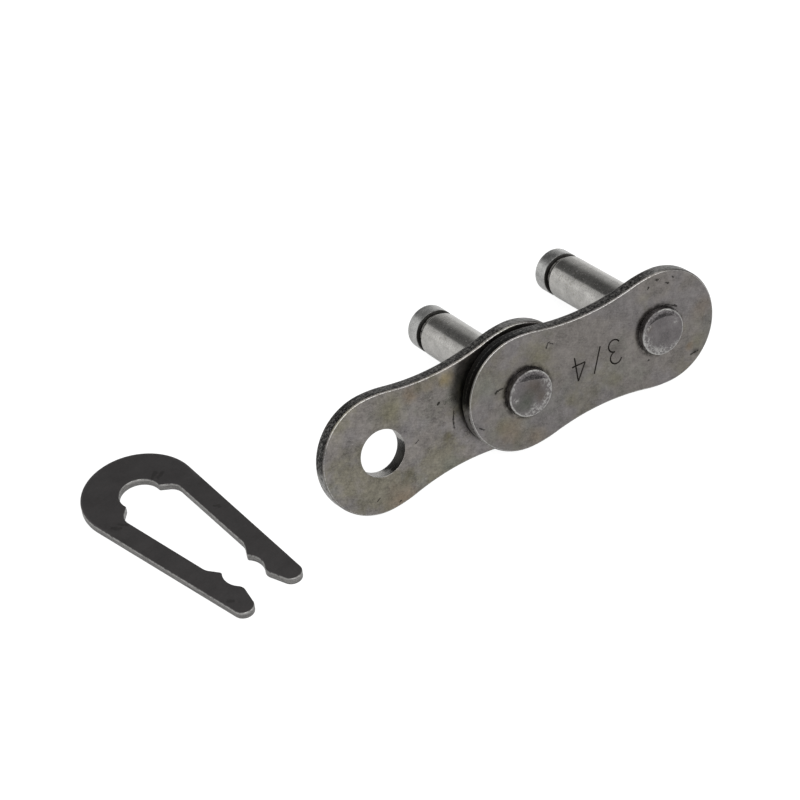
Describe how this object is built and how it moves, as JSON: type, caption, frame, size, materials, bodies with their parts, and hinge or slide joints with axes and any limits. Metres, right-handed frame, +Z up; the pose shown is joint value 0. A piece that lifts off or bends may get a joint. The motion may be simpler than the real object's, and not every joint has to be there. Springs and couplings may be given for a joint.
{
  "type": "chain connecting link",
  "caption": "Roller-chain connecting link: outer plate with riveted grooved pins, a waisted cover plate swung out on one pin, and a flat U-shaped spring clip lying beside it.",
  "frame": {"origin": "centre of the overall box in plan, on the table that the pieces rest on", "axes": "+X along the outer plate towards its right lobe, +Y back along the pins towards their grooved ends, +Z up from the table"},
  "size_m": [0.0768, 0.032, 0.0153],
  "materials": {
    "outer_plate_steel": "tumbled satin, oiled",
    "cover_plate_steel": "tumbled satin, oiled, with brown heat tint",
    "pin_steel": "ground, with tumbled ends",
    "clip_steel": "blued spring steel, matt"
  },
  "bodies": {
    "pin_link": {"outer_plate": "outer_plate_steel", "left_pin": "pin_steel", "right_pin": "pin_steel", "spring_clip": "clip_steel"},
    "cover": {"cover_plate": "cover_plate_steel"}
  },
  "joints": [
    {"name": "cover_swing", "type": "hinge", "parent": "pin_link", "child": "cover", "pos_m": [0.01131, -0.00792, 0.00738], "axis": [0.0329, -0.9647, 0.2614], "range_deg": [-149, 145.5]}
  ]
}
